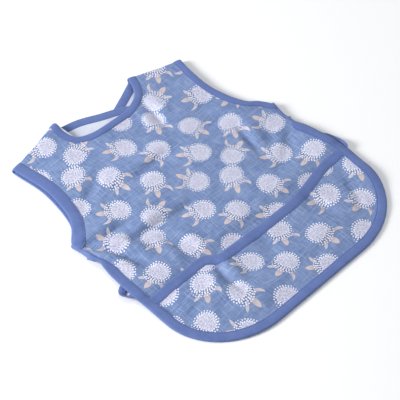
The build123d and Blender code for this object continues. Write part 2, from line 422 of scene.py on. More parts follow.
def linen_ground(tree, cloth):
    patches = add(tree, "MapRange", (streaks(tree, cloth, 0.03, 0.03), 0.35, 0.65), **SOFT)
    dyed = add(tree, "Mix", {"Factor": patches, "A": linear("#647AA8"), "B": linear("#768AB6")}, **COLOUR)
    for across, along, low, high, strength, hue in SLUBS:
        slub = add(tree, "MapRange", (streaks(tree, cloth, across, along), low, high), **SOFT)
        slub = add(tree, "Math", (slub, strength), operation="MULTIPLY")
        dyed = add(tree, "Mix", {"Factor": slub, "A": dyed, "B": linear(hue)}, **COLOUR)
    return dyed


def weave_bump(tree, cloth, thread, depth):
    """Plain weave: threads over and under, as two waves that multiply."""
    across = add(tree, "SeparateXYZ", (cloth,))
    waves = []
    for way in (across, across.node.outputs["Y"]):
        phase = add(tree, "Math", (way, math.pi / thread), operation="MULTIPLY")
        waves.append(add(tree, "Math", (phase,), operation="SINE"))
    height = add(tree, "Math", waves, operation="MULTIPLY")
    return add(tree, "Bump", {"Height": height, "Strength": 0.35, "Distance": depth})


def millimetres(tree):
    """The piece's UV map, which is in millimetres of flat cloth over 1000."""
    uv = add(tree, "TexCoord").node.outputs["UV"]
    return add(tree, "VectorMath", (uv, (1000, 1000, 0)), operation="MULTIPLY")


# %% [markdown]
# ### Printed woven polyester
# Pigment print leaves polyester matt, with a faint bloom at grazing angles from the ends
# of fibres: high roughness and a little sheen. The ground comes first, then a darker
# stain round each head, the leaves, the head and its dots on top, as in layers of ink.

# %% Printed cloth
def printed_polyester():
    material, tree, shader = new_material("printed woven polyester")
    cloth = millimetres(tree)
    on_flower = nearest_flower(tree, cloth)
    radius = add(tree, "VectorMath", (on_flower,), operation="LENGTH")
    x = add(tree, "SeparateXYZ", (on_flower,))
    y = x.node.outputs["Y"]
    angle = add(tree, "Math", (y, x), operation="ARCTAN2")
    down = add(tree, "Math", (y, -1.0), operation="MULTIPLY")
    away = add(tree, "Math", (radius, 0.01), operation="MAXIMUM")
    stem_side = add(tree, "Math", (down, away), operation="DIVIDE")

    colour = linen_ground(tree, cloth)
    stain = add(tree, "MapRange", (radius, 18.0, 15.0), **SOFT)
    stain = add(tree, "Math", (stain, 0.48), operation="MULTIPLY")
    colour = add(tree, "Mix", {"Factor": stain, "A": colour, "B": linear("#5569A0")}, **COLOUR)
    near = add(tree, "MapRange", (radius, 20.0, 17.0), **SOFT)
    by_leaves = add(tree, "MapRange", (stem_side, 0.45, 0.8), **SOFT)
    shade = add(tree, "Math", (near, by_leaves), operation="MULTIPLY")
    shade = add(tree, "Math", (shade, 0.65), operation="MULTIPLY")
    colour = add(tree, "Mix", {"Factor": shade, "A": colour, "B": linear("#5B608A")}, **COLOUR)
    for shape in LEAVES:
        colour = leaf(tree, on_flower, shape, colour)
    colour = flower_head(tree, on_flower, radius, stem_side, colour)
    for ring in DOT_RINGS:
        colour = dot_ring(tree, radius, angle, stem_side, ring, colour)
    tree.links.new(colour, shader.inputs["Base Color"])
    tree.links.new(weave_bump(tree, cloth, PRINT_THREAD, 0.08 * MM), shader.inputs["Normal"])
    shader.inputs["Roughness"].default_value = 0.62
    shader.inputs["Sheen Weight"].default_value = 0.15
    shader.inputs["Sheen Roughness"].default_value = 0.4
    shader.inputs["Specular IOR Level"].default_value = 0.35
    return material


printed = printed_polyester()
print("print nodes", len(printed.node_tree.nodes))

# %% [markdown]
# ### The white inside
# Inside, the polyester is coated with a thin white polyurethane film. It is smoother and
# a little glossier than the print, and the weave just shows through as a fine bump.
# The film is slightly cloudy, because it takes up more or less of the dye behind it.

# %% Coating
def white_coating():
    material, tree, shader = new_material("polyurethane coating")
    cloth = millimetres(tree)
    cloudy = add(tree, "MapRange", (streaks(tree, cloth, 0.05, 0.05), 0.3, 0.7), **SOFT)
    film = {"Factor": cloudy, "A": linear("#C4C9DA"), "B": linear("#D2D7E4")}
    tree.links.new(add(tree, "Mix", film, **COLOUR), shader.inputs["Base Color"])
    tree.links.new(weave_bump(tree, cloth, PRINT_THREAD, 0.04 * MM), shader.inputs["Normal"])
    shader.inputs["Roughness"].default_value = 0.42
    return material


coating = white_coating()
print("coating nodes", len(coating.node_tree.nodes))

# %% [markdown]
# ### The binding
# The binding is plain cotton-polyester tape, piece-dyed a strong blue. It is cut on the
# bias, so its threads run at 45 degrees to its edges. Two blues that differ by a shade
# show its threads, and a third, paler one the wear. Cotton is matt, with more bloom
# than the print. Its weave, of 3 threads in a mm, is drawn at one thread in 0.5 mm.

# %% Bias tape
TAPE_THREAD = 0.5  # mm


def bias_tape():
    material, tree, shader = new_material("woven cotton-polyester bias tape")
    on_bias = {"Vector": millimetres(tree), "Angle": math.radians(45)}
    turned = add(tree, "VectorRotate", on_bias, rotation_type="Z_AXIS")
    threads = add(tree, "MapRange", (streaks(tree, turned, 1.6, 0.12), 0.35, 0.7), **SOFT)
    worn = add(tree, "MapRange", (streaks(tree, turned, 0.06, 0.06), 0.3, 0.7), **SOFT)
    worn = add(tree, "Math", (worn, 0.4), operation="MULTIPLY")
    dyed = add(tree, "Mix", {"Factor": threads, "A": linear("#4F64A0"), "B": linear("#5F74AC")}, **COLOUR)
    colour = add(tree, "Mix", {"Factor": worn, "A": dyed, "B": linear("#687DB2")}, **COLOUR)
    tree.links.new(colour, shader.inputs["Base Color"])
    tree.links.new(weave_bump(tree, turned, TAPE_THREAD, 0.08 * MM), shader.inputs["Normal"])
    shader.inputs["Roughness"].default_value = 0.75
    shader.inputs["Sheen Weight"].default_value = 0.2
    return material


tape = bias_tape()
print("tape nodes", len(tape.node_tree.nodes))

# %% [markdown]
# ### Thread, closure tapes and table
# These four share one recipe, a single fine grain in two near colours with the same grain
# as bump, and differ in its size. Spun thread is a darker blue than the tape, and fuzzy
# at 0.3 mm. Hook tape is moulded nylon with stiff hooks 0.5 mm apart, and a slight gloss.
# Loop tape is napped nylon, soft and quite matt, with loops nearly 1 mm across. The
# table is white laminate with a grain too fine and too pale to notice.

# %% Thread, hook, loop and laminate
def plain_finish(name, low, high, grain, roughness):
    """Two colours mixed by a grain of that size in mm, on the object's own coordinates."""
    material, tree, shader = new_material(name)
    spot = add(tree, "TexCoord").node.outputs["Object"]
    grainy = add(tree, "TexNoise", {"Vector": spot, "Scale": 1 / (grain * MM), "Detail": 4.0})
    share = add(tree, "MapRange", (grainy, 0.35, 0.65), **SOFT)
    colour = add(tree, "Mix", {"Factor": share, "A": linear(low), "B": linear(high)}, **COLOUR)
    bump = add(tree, "Bump", {"Height": grainy, "Strength": 0.6, "Distance": grain * MM / 3})
    tree.links.new(colour, shader.inputs["Base Color"])
    tree.links.new(bump, shader.inputs["Normal"])
    shader.inputs["Roughness"].default_value = roughness
    print(name, "with a grain of", grain, "mm")
    return material


thread = plain_finish("spun polyester thread", "#36468A", "#4A5AA0", 0.3, 0.6)
hook_tape = plain_finish("nylon hook tape", "#B9BDCF", "#E4E6F0", 0.5, 0.55)
loop_tape = plain_finish("nylon loop tape", "#C6C9D8", "#ECEDF4", 0.9, 0.9)
table_top = plain_finish("matt white laminate", "#FBFBFB", "#FDFDFD", 0.2, 0.9)
table.data.materials.append(table_top)

# %% [markdown]
# ## Cloth as a warped grid
# Each piece of cloth or tape starts as a flat grid from one bmesh operator. Every point
# of the grid is then moved to its place on the garment, and given the spot of flat cloth
# that it was cut from. Solidify gives the cloth its thickness afterwards, with the white
# coating as the second skin.

# %% Grid helper
def grid_piece(name, columns, rows, where, flat, materials, weld=False):
    """A grid whose points go to where(u, v), with flat(u, v) in mm as its UV map."""
    bm = bmesh.new()
    bmesh.ops.create_grid(bm, x_segments=columns, y_segments=rows, size=1)
    uv_layer = bm.loops.layers.uv.new("flat_cloth")
    spots = {v: ((v.co.x + 1) / 2, (v.co.y + 1) / 2) for v in bm.verts}
    for face in bm.faces:
        for loop in face.loops:
            loop[uv_layer].uv = Vector(flat(*spots[loop.vert])) * MM
        face.smooth = True
    for vert, (u, v) in spots.items():
        vert.co = where(u, v)
    if weld:
        bmesh.ops.remove_doubles(bm, verts=bm.verts, dist=1e-6)
    mesh = bpy.data.meshes.new(name)
    bm.to_mesh(mesh)
    bm.free()
    for material in materials:
        mesh.materials.append(material)
    print(name, "has", len(mesh.polygons), "grid faces")
    return new_object(name, mesh)


# %% [markdown]
# ### Thickness
# A laminated print is about half a millimetre thick. Solidify grows it on the side away
# from the print, gives the new skin the second material, the coating, and closes the
# rim. Its result is made the piece's own mesh, so that nothing later can change it.

# %% Thickness
CLOTH = 0.5  # mm


def thicken(piece):
    solidify = piece.modifiers.new("coating", "SOLIDIFY")
    solidify.thickness = CLOTH * MM
    solidify.offset = -1
    solidify.material_offset = 1
    solidify.material_offset_rim = 1
    evaluated = piece.evaluated_get(bpy.context.evaluated_depsgraph_get())
    solid = bpy.data.meshes.new_from_object(evaluated)
    piece.modifiers.clear()
    piece.data = solid
    print(piece.name, "has", len(solid.polygons), "faces with its coating")

# %% [markdown]
# ## Creases
# Light creases run out of the left underarm, across the chest and down beside the
# pocket. A cloth simulation could make creases, but not these ones in these places. So
# each crease is drawn as a line with a height, positive for a ridge and negative for a
# valley, that fades out sideways and at its ends. A valley with a low ridge on each side
# looks pinched, as coated cloth does.

# %% Creases
# Each crease: the points that it runs through, its height and its half width, in mm.
CREASES = [
    ([(-168, 250), (-150, 226), (-140, 200), (-131, 172)], -6.0, 4),
    ([(-172, 240), (-158, 212), (-148, 182)], 5.0, 8),
    ([(-152, 246), (-131, 224), (-122, 198), (-116, 176)], 4.2, 9),
    ([(-166, 254), (-140, 245), (-110, 241)], -3.4, 5),
    ([(-160, 264), (-132, 258), (-104, 254)], 3.0, 7),
    ([(-118, 217), (-88, 213), (-58, 204), (-24, 209)], -3.8, 6),
    ([(-104, 228), (-72, 226), (-36, 219)], 2.6, 9),
    ([(-86, 194), (-79, 164), (-76, 136)], -4.0, 6),
    ([(-99, 190), (-95, 150)], 3.0, 9),
    ([(-64, 186), (-60, 150)], 2.2, 9),
    ([(112, 256), (105, 226), (99, 196)], -3.4, 5),
    ([(124, 252), (116, 212)], 2.4, 8),
    ([(-74, 293), (-34, 287), (6, 290), (36, 284)], -2.6, 7),
    ([(-60, 304), (-20, 302), (24, 303)], 1.8, 9),
    ([(54, 378), (50, 348), (44, 320)], -2.3, 5),
    ([(66, 372), (63, 336)], 1.9, 8),
    ([(36, 366), (32, 332)], 2.0, 7),
    ([(-124, 300), (-98, 316), (-60, 330)], -2.2, 8),
    ([(150, 198), (128, 176), (96, 168)], -2.4, 7),
    ([(154, 222), (132, 200), (110, 186)], 1.8, 8),
    ([(20, 196), (28, 168), (24, 144)], -1.8, 7),
    ([(150, 262), (126, 280), (110, 306)], 1.8, 8),
]
CREASE_GAIN = 1.25  # deepens all creases at once
POCKET_CREASES = [
    ([(-74, 116), (-80, 92), (-78, 62)], -3.5, 5),
    ([(-64, 112), (-66, 76)], 3.2, 8),
    ([(-94, 108), (-96, 74)], 2.6, 9),
    ([(86, 112), (92, 84), (90, 60)], -2.2, 7),
    ([(-20, 40), (30, 34), (80, 42)], -1.8, 9),
    ([(150, 96), (138, 66), (120, 44)], -2.2, 7),
    ([(-10, 108), (-4, 78)], -1.6, 8),
]


def nearest_on(points, x, y):
    """How far x, y is from a line of points, and how far along the line, from 0 to 1."""
    nearest, along = math.inf, 0.0
    spans = len(points) - 1
    for i in range(spans):
        ax, ay = points[i]
        dx, dy = points[i + 1][0] - ax, points[i + 1][1] - ay
        t = min(max(((x - ax) * dx + (y - ay) * dy) / (dx * dx + dy * dy), 0), 1)
        off = math.hypot(x - ax - t * dx, y - ay - t * dy)
        if off < nearest:
            nearest, along = off, (i + t) / spans
    return nearest, along


def crease_height(creases, x, y):
    total = 0.0
    for points, height, half in creases:
        reach = 2.6 * half
        xs, ys = [p[0] for p in points], [p[1] for p in points]
        if not (min(xs) - reach < x < max(xs) + reach and min(ys) - reach < y < max(ys) + reach):
            continue
        nearest, along = nearest_on(points, x, y)
        towards_ends = math.sin(math.pi * (0.08 + 0.84 * along)) ** 0.7
        total += CREASE_GAIN * height * towards_ends * math.exp(-((nearest / half) ** 2))
    return total


print(len(CREASES), "creases on the front and", len(POCKET_CREASES), "on the pocket")

# %% [markdown]
# ## How high the front lies
# The hem lies on the table. Further up, the front rises over the ties, and again over
# the folded shoulders and the crossed back panels. Two sizes of noise add the gentle
# buckling of coated cloth that was packed folded. The front never sinks into what lies
# under it, first the ties and then the crossed panels: where a crease would go too deep,
# it levels out softly.

# %% Heights
LOW_LEVEL = 1.3  # mm, of the cloth at the hem
TIES_RISE = 3.3  # mm more over the ties
BACK_RISE = 3.6  # mm more over the back panels


def buckling(x, y):
    slow = noise.noise(Vector((x / 52, y / 40, 1.7)))
    quick = noise.noise(Vector((x / 17, y / 21, 8.3)))
    return 1.7 * slow + 0.6 * quick


def resting_height(x, y):
    over_ties = smooth(126, 150, y)
    over_back = smooth(186, 240, y)
    neck = 6.5 * math.exp(-(((x + 62) / 36) ** 2) - ((y - 432) / 30) ** 2)
    return LOW_LEVEL + TIES_RISE * over_ties + BACK_RISE * over_back + neck


RIGHT_ROLL = 5.0  # mm: how high the right side stands, where the tie lifts it


def front_height(x, y):
    inland = smooth(0, 26, y)
    right_roll = smooth(196, 172, x) * smooth(128, 168, x) * smooth(34, 80, y) * smooth(226, 190, y)
    waves = buckling(x, y) + crease_height(CREASES, x, y)
    z = resting_height(x, y) + RIGHT_ROLL * right_roll + inland * waves
    over_ties, over_nape = smooth(124, 142, y), smooth(222, 244, y) * smooth(60, 10, x)
    under = 0.6 + 2.6 * over_ties + 2.6 * over_nape
    return 0.5 * (z + under + math.sqrt((z - under) ** 2 + 0.8))


print("front's middle lies", round(front_height(0, 210), 1), "mm up")

# %% [markdown]
# ## Places on the front
# The garment was laid out by eye, so it isn't quite square: where the cloth lies high,
# it has also slid towards the hem and the left. `front_point` gives the place of any
# spot of the front, b above the cloth.

# %% Places on the front
SLIDE = 0.57     # mm slid for each mm of height
LOWEST = 0.15    # mm: no cloth comes nearer to the table


def front_point(x, y, b=0.0):
    slide = SLIDE * (resting_height(x, y) - LOW_LEVEL)
    z = max(front_height(x, y) + b, LOWEST)
    return place(x - slide, y - slide, z)


print("middle of the front is at", [round(c, 3) for c in front_point(0, 210)])

# %% [markdown]
# ## Creep of the print
# Small creases take up cloth, and cutting and sewing pull it, so the print has crept by
# a few millimetres here and there. Each creep is a round spot with a shift that fades
# out. `creep` says which spot of the flat cloth has ended up at a place.

# %% Creep of the print
# Middle of each crept spot, how far it has crept, and its radius, in mm.
FRONT_CREEP = [
    ((75, 345), (-5.5, -7.5), 60), ((-66, 318), (4.5, 11), 30), ((-106, 350), (-6, -4), 25),
    ((-90, 412), (8, 0), 20), ((118, 185), (-4, -5), 35), ((76, 230), (4, 2), 28), ((45, 256), (0, -4), 25),
]
POCKET_CREEP = [
    ((-102, 110), (9, 4), 30), ((24, 100), (-8, -6), 34), ((-40, 92), (-4, -2), 25),
    ((118, 96), (5, 7), 28), ((-80, 66), (6, 8), 26), ((-140, 62), (5, 6), 28), ((104, 26), (9, 0), 34),
    ((-42, 22), (5, -3), 30),
]


def creep(spots, x, y):
    """The spot of flat cloth that has ended up at x, y."""
    dx = dy = 0.0
    for (cx, cy), (sx, sy), radius in spots:
        share = math.exp(-(((x - cx) ** 2 + (y - cy) ** 2) / radius**2))
        dx, dy = dx + sx * share, dy + sy * share
    return Vector((x - dx, y - dy))


print(len(FRONT_CREEP), "spots of the front and", len(POCKET_CREEP), "of the pocket have crept")

# %% [markdown]
# ## The front's outline
# It runs up each side: a round hem corner, a long side with a slight taper, the
# underarm and the armhole. The garment lies as it was dropped, so its right side bulges
# at the tie and its left side pulls in below the underarm.

# %% Outline of the front
CORNER_WIDE, CORNER_HIGH = 105.0, 92.0
LEFT_SIDE = [(-180.5, 92), (-180, 150), (-177, 195), (-171.5, 232), (-176, 266)]
RIGHT_SIDE = [(180.5, 92), (183.5, 122), (182.5, 152), (177, 180), (170, 205), (167.5, 226), (172, 252)]
LEFT_ARMHOLE = [(-176, 266), (-163, 281), (-151, 300), (-144.5, 328), (-142, 362), (-149, 408)]
RIGHT_ARMHOLE = [(172, 252), (163, 268), (150, 281), (140, 306), (135, 338), (136.5, 366), (141, 394)]
LEFT_NECK, RIGHT_NECK = (-56, 428), (67, 419)
NECKLINE = [
    LEFT_NECK, (-58, 411), (-52, 393), (-29, 382.5), (0, 381), (28, 381.5), (50, 390), (61, 404), RIGHT_NECK,
]
CORNER_SHARE = 0.2  # the hem corner takes this share of a side edge
ROLL_SHARE, ARMHOLE_SHARE = 0.462, 0.56  # how far up a side edge the roll starts and ends


def side_edge(side, armhole, sign, v):
    """From the hem corner's start to the shoulder tip."""
    if v < CORNER_SHARE:
        angle = math.pi / 2 * (v / CORNER_SHARE) ** 0.85
        x = abs(side[0][0]) - CORNER_WIDE * (1 - math.sin(angle))
        return Vector((sign * x, CORNER_HIGH * (1 - math.cos(angle))))
    if v < ARMHOLE_SHARE:
        return spline(side, (v - CORNER_SHARE) / (ARMHOLE_SHARE - CORNER_SHARE))
    return spline(armhole, (v - ARMHOLE_SHARE) / (1 - ARMHOLE_SHARE))


def left_edge(v):
    return side_edge(LEFT_SIDE, LEFT_ARMHOLE, -1, v)


def right_edge(v):
    return side_edge(RIGHT_SIDE, RIGHT_ARMHOLE, 1, v)


print("underarms at", left_edge(ARMHOLE_SHARE)[:], "and", right_edge(ARMHOLE_SHARE)[:])

# %% [markdown]
# ### Across the top and the bottom
# The top edge is a straight shoulder, the curve of the neckline and the other shoulder.
# The hem is straight. A Coons patch then spreads a grid evenly between the four edges.
# The neckline takes more than its share of the grid, so that the columns under its steep
# ends don't cross one another.

# %% Top, hem and patch
NECK_FROM, NECK_TO = 0.24, 0.8  # the share of the top edge that is neckline


def top_edge(u):
    if u < NECK_FROM:
        return Vector(LEFT_ARMHOLE[-1]).lerp(Vector(LEFT_NECK), u / NECK_FROM)
    if u > NECK_TO:
        return Vector(RIGHT_NECK).lerp(Vector(RIGHT_ARMHOLE[-1]), (u - NECK_TO) / (1 - NECK_TO))
    return spline(NECKLINE, (u - NECK_FROM) / (NECK_TO - NECK_FROM))


def hem_edge(u):
    return left_edge(0).lerp(right_edge(0), u)


def coons(bottom, top, left, right):
    """A patch between four edges that meet at their ends."""
    corners = bottom(0), bottom(1), top(0), top(1)

    def spot(u, v):
        ruled = bottom(u).lerp(top(u), v) + left(v).lerp(right(v), u)
        return ruled - corners[0].lerp(corners[1], u).lerp(corners[2].lerp(corners[3], u), v)

    return spot


front_spot = coons(hem_edge, top_edge, left_edge, right_edge)
print("middle of the patch is at", [round(c) for c in front_spot(0.5, 0.5)])

# %% [markdown]
# ## The front
# The largest piece of cloth: a grid with cells of 2 to 3 mm, finer than any crease. Its
# grid goes to the patch, lifted to its height, and its print comes from the spot that
# creep gives. It rides on the body that lies still.

# %% Make the front
front = grid_piece(
    "front_cloth", 150, 190,
    lambda u, v: front_point(*front_spot(u, v)),
    lambda u, v: creep(FRONT_CREEP, *front_spot(u, v)),
    [printed, coating],
)
thicken(front)
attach(front, "front")
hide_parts("front_panel")

# %% [markdown]
# ## Shoulder folds and back panels
# At each shoulder the cloth turns over and goes down the back. The fold and the back
# panel are one grid: its first rows go round a half circle from the front's edge, and
# the rest spreads over the panel. The right panel lies lowest, and the left one lies on
# it where they cross at the nape.

# %% Back panels' outlines
# For each side: edge from the neck point round the tip, lower edge, back armhole edge.
BACK = {
    "right": {
        "sign": 1, "neck": RIGHT_NECK, "tip": RIGHT_ARMHOLE[-1], "edge": right_edge,
        "inner": [(34, 402), (6, 391), (-22, 386), (-38, 376), (-43, 356), (-38, 334)],
        "low": [(32, 300), (104, 266)], "armhole": [(132, 350), (144, 290)],
    },
    "left": {
        "sign": -1, "neck": LEFT_NECK, "tip": LEFT_ARMHOLE[-1], "edge": left_edge,
        "inner": [(-34, 413), (-6, 400), (22, 388), (38, 376), (43, 356), (38, 334)],
        "low": [(-32, 300), (-104, 266)], "armhole": [(-148, 350), (-158, 292)],
    },
}


def back_height(side, x, y):
    """The middle of a back panel: near the table outside, over the other one at the nape."""
    if side == "right":
        return 1.15 + 0.35 * noise.noise(Vector((x / 40, y / 40, 3.1)))
    over = smooth(-120, -20, x)
    return mix(2.0, 4.4, over) + 0.5 * noise.noise(Vector((x / 40, y / 40, 5.9))) * (1 - over)


print("at the nape the panels lie", [round(back_height(side, 0, 380), 1) for side in BACK], "mm up")

# %% [markdown]
# ### Turning the cloth over
# A fold is half a turn: it starts at the front's edge, goes round the outside and ends
# under it at the back panel's height. So its radius is half the distance between the
# two. The same function turns the shoulders and the underarms, only outward in another
# direction.

# %% Folds
def shoulder_spot(side, along):
    """A spot of the front's shoulder edge, from 0 at the neck to 1 at the armhole."""
    return Vector(BACK[side]["neck"]).lerp(Vector(BACK[side]["tip"]), along)


def outward(side):
    line = Vector(BACK[side]["tip"]) - Vector(BACK[side]["neck"])
    normal = Vector((-line.y, line.x)).normalized()
    return normal if normal.y > 0 else -normal


def turn_over(spot, direction, low, angle, b):
    """Half a turn from the front's edge at spot down to the height low under it."""
    start = front_point(*spot)
    radius = (start.z / MM - low) / 2
    middle = Vector((start.x, start.y, start.z - radius * MM))
    out = Vector((direction[0], direction[1], 0)) * math.sin(angle)
    return middle + (out + Vector((0, 0, math.cos(angle)))) * (radius + b) * MM


def flat_spot(point):
    """A point of the scene as a spot of the garment, in mm."""
    return Vector((point.x / MM, (point.y - hem_y) / MM))


def shoulder_fold(side, along, angle, b=0.0):
    spot = shoulder_spot(side, along)
    under = flat_spot(front_point(*spot))
    return turn_over(spot, outward(side), back_height(side, *under), angle, b)


def shoulder_length(side):
    return (Vector(BACK[side]["tip"]) - Vector(BACK[side]["neck"])).length


def roll_spot(side, t):
    """A spot of the front's side edge at the underarm: 0 at the armhole, 1 at the binding."""
    return BACK[side]["edge"](mix(ARMHOLE_SHARE, ROLL_SHARE, t))


def underarm_roll(side, t, angle, b=0.0):
    spot = roll_spot(side, t)
    under = flat_spot(front_point(*spot))
    return turn_over(spot, (BACK[side]["sign"], 0.15), back_height(side, *under), angle, b)


print("shoulders are", [round(shoulder_length(side)) for side in BACK], "mm long")

# %% [markdown]
# ### The flat of a back panel
# Its patch starts where the shoulder fold ends. The inner edge is bound and runs past
# the middle to the nape, the outer edge follows the armhole and the underarm roll, and
# the low edge runs back between them.

# %% Flat of the panels
def back_edges(side):
    data = BACK[side]
    under_neck = flat_spot(shoulder_fold(side, 0, math.pi))
    under_tip = flat_spot(shoulder_fold(side, 1, math.pi))
    roll_top = flat_spot(underarm_roll(side, 0, math.pi))
    roll_end = flat_spot(underarm_roll(side, 1, math.pi))
    inner = [under_neck, *data["inner"]]
    outer = [under_tip, *data["armhole"], roll_top, roll_end]
    low = [inner[-1], *data["low"], roll_end]
    return inner, outer, low, [under_neck, under_tip]


def back_spot(side):
    inner, outer, low, top = back_edges(side)
    return coons(
        lambda u: spline(top, u), lambda u: spline(low, u),
        lambda v: spline(inner, v), lambda v: spline(outer, v),
    )


def back_point(side, x, y, b=0.0):
    """b is counted outward, which is down here."""
    return place(x, y, max(back_height(side, x, y) - b, LOWEST))


print("nape of the right panel is at", [round(c) for c in back_spot("right")(0, 1)])

# %% [markdown]
# ### The back panels
# The first rows of each grid go round the fold, and the others lie on the flat. The print
# goes on from the front over the fold, 12 mm round, and then back down the panel.

# %% Back cloth
FOLD_ROWS, BACK_ROWS, BACK_COLUMNS = 10, 90, 100
FOLD_RUN = 12  # mm of cloth round the fold


def back_cloth(side):
    spot_of = back_spot(side)
    fold_share = FOLD_ROWS / BACK_ROWS
    flip = BACK[side]["sign"] < 0

    def where(u, v):
        u = 1 - u if flip else u
        if v <= fold_share:
            return shoulder_fold(side, u, math.pi * v / fold_share)
        return back_point(side, *spot_of(u, (v - fold_share) / (1 - fold_share)))

    def flat(u, v):
        u = 1 - u if flip else u
        start = shoulder_spot(side, u)
        out = outward(side)
        if v <= fold_share:
            return start + out * (FOLD_RUN * v / fold_share)
        under = spot_of(u, (v - fold_share) / (1 - fold_share))
        off = (under - Vector(BACK[side]["neck"])).dot(out)
        return under + out * (FOLD_RUN - 2 * off)

    name = f"back_cloth_{side}"
    return grid_piece(name, BACK_COLUMNS, BACK_ROWS, where, flat, [printed, coating])


# %% [markdown]
# ### The crease of a flap
# The flap part of a panel swings away about the crease from the neck point to the bottom
# of the underarm. The cloth isn't cut there. Here a piece is not bent with the flap: its
# placement is only baked into its mesh.

# %% Baking a piece's placement
def joint(name):
    return next(j for j in frame["joints"] if j["name"] == name)


def across_crease(piece, side):
    """Bakes the piece's placement into its mesh. The piece is not bent with the back flap."""
    swing = joint(f"back_flap_{side}_swing")
    on_crease = Vector(swing["pos_m"])
    line = Vector(swing["axis"]).normalized()
    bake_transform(piece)


for side in BACK:
    panel = back_cloth(side)
    thicken(panel)
    across_crease(panel, side)
    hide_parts(f"back_yoke_{side}", f"back_flap_{side}")
    BACK[side]["panel"] = panel

# %% [markdown]
# ### The underarm rolls
# Below each armhole the cloth rolls from the front to the back in one piece. The roll is
# a small grid of half circles between the front's side edge and the edge of the back
# panel, in the same cloth.

# %% Make the underarm rolls
ROLL_RUN = 11  # mm of cloth round a roll

for side in BACK:
    flip = BACK[side]["sign"] > 0

    def roll_where(u, v, side=side, flip=flip):
        return underarm_roll(side, u if flip else 1 - u, math.pi * v)

    def roll_flat(u, v, side=side, flip=flip):
        return roll_spot(side, u if flip else 1 - u) + Vector((BACK[side]["sign"] * ROLL_RUN * v, 0))

    roll = grid_piece(f"underarm_roll_{side}", 24, 12, roll_where, roll_flat, [printed, coating])
    thicken(roll)
    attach(roll, "front")

# %% [markdown]
# ## The pocket's mouth
# The pocket is a second cut of the print, sewn down along the sides and the hem with the
# binding. Its mouth is left open and sags: it is highest at the two ends and low in the
# middle, with a step where a fold pushes it up on the left.

# %% Mouth line
def mouth_y(x):
    left = 14.5 * (1 - smooth(-84, -58, x))
    right = 12.5 * smooth(50, 150, x)
    sag = 3.5 * smooth(-60, 20, x) * smooth(150, 90, x)
    return 120.5 + left + right - sag


def side_height(edge, y):
    """How far up a side edge, from 0 to 1, the height y is reached."""
    low, high = 0.0, ARMHOLE_SHARE
    for _ in range(30):
        middle = (low + high) / 2
        if edge(middle).y < y:
            low = middle
        else:
            high = middle
    return low


POCKET_TOP_LEFT = side_height(left_edge, mouth_y(-180))
POCKET_TOP_RIGHT = side_height(right_edge, mouth_y(182))


def pocket_mouth(u):
    start, end = left_edge(POCKET_TOP_LEFT), right_edge(POCKET_TOP_RIGHT)
    x = mix(start.x, end.x, u)
    return Vector((x, mouth_y(x)))


pocket_spot = coons(
    hem_edge, pocket_mouth,
    lambda v: left_edge(v * POCKET_TOP_LEFT),
    lambda v: right_edge(v * POCKET_TOP_RIGHT),
)
print("mouth is", round(mouth_y(0)), "mm up in the middle and", round(mouth_y(-180)), "mm at the left")

# %% [markdown]
# ## The pocket
# It stands a few millimetres off the front, most in the middle of its mouth, and comes
# down to it along the sewn edges and in the round corners. It has creases of its own, and
# wherever they would go through the front, it rests on the front instead.

# %% Pocket
def pocket_lift(x, y):
    """How far the pocket stands off the front."""
    from_side = smooth(10, 44, half_width - abs(x))
    corner = math.hypot(max(abs(x) - 80, 0), max(88 - y, 0)) if y < 88 else 0
    from_corner = 1 - smooth(44, 80, corner) if abs(x) > 80 else 1.0
    from_hem = smooth(8, 46, y)
    open_mouth = 1 + 0.5 * smooth(60, 125, y) * (1 - smooth(30, 130, abs(x)))
    return 1.0 + 3.4 * from_side * from_hem * from_corner * open_mouth


POCKET_GAP = 0.7  # mm from the middle of one cloth to the other


def pocket_point(x, y, b=0.0):
    level = resting_height(x, y)
    slide = SLIDE * (level - LOW_LEVEL)
    inland = smooth(0, 26, y) * smooth(0, 20, half_width - abs(x))
    shape = 0.8 * buckling(x + 300, y) + crease_height(POCKET_CREASES, x, y)
    z = level + 0.4 * inland * buckling(x, y) + pocket_lift(x, y) + inland * shape + b
    on_front = front_height(x, y) + POCKET_GAP + b
    return place(x - slide, y - slide, max(z, on_front, 2 * LOWEST))


POCKET_SHIFT = Vector((17.2, -43.1))  # the pocket was cut from another place of the print
pocket = grid_piece(
    "pocket_cloth", 150, 70,
    lambda u, v: pocket_point(*pocket_spot(u, v)),
    lambda u, v: creep(POCKET_CREEP, *pocket_spot(u, v)) + POCKET_SHIFT,
    [printed, coating],
)
thicken(pocket)
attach(pocket, "front")
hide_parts("pocket_panel")

# %% [markdown]
# ## Bias binding
# Binding is a tape folded over the raw edge and sewn through. Its section is a flat
# hook: full and round at the fold, a little puffed, then pinched at the stitch line
# 1.5 mm from its inner edge. Sweeping a curve with a bevel would twist on the corners of
# a garment. Here the section is carried from station to station, and each station is a
# function that knows the cloth there, so the tape always sits on its cloth.

# %% Binding section and sweep
STITCH_IN = 10.9  # mm from the folded edge to the stitch line
# The section, from the inner edge on top, round the fold, to the inner edge below:
# distance from the folded edge and height above the middle of the cloth, in mm.
SECTION = [
    (12.2, 0.15), (12.1, 0.62), (11.6, 0.72), (10.9, 0.45), (10.1, 0.85), (8.0, 1.12),
    (5.0, 1.22), (2.5, 1.25), (0.6, 1.05), (-0.5, 0.6), (-0.85, 0.0), (-0.5, -0.6),
    (0.6, -1.0), (5.0, -1.0), (10.1, -0.8), (10.9, -0.5), (11.6, -0.72), (12.1, -0.62), (12.2, 0.15),
]


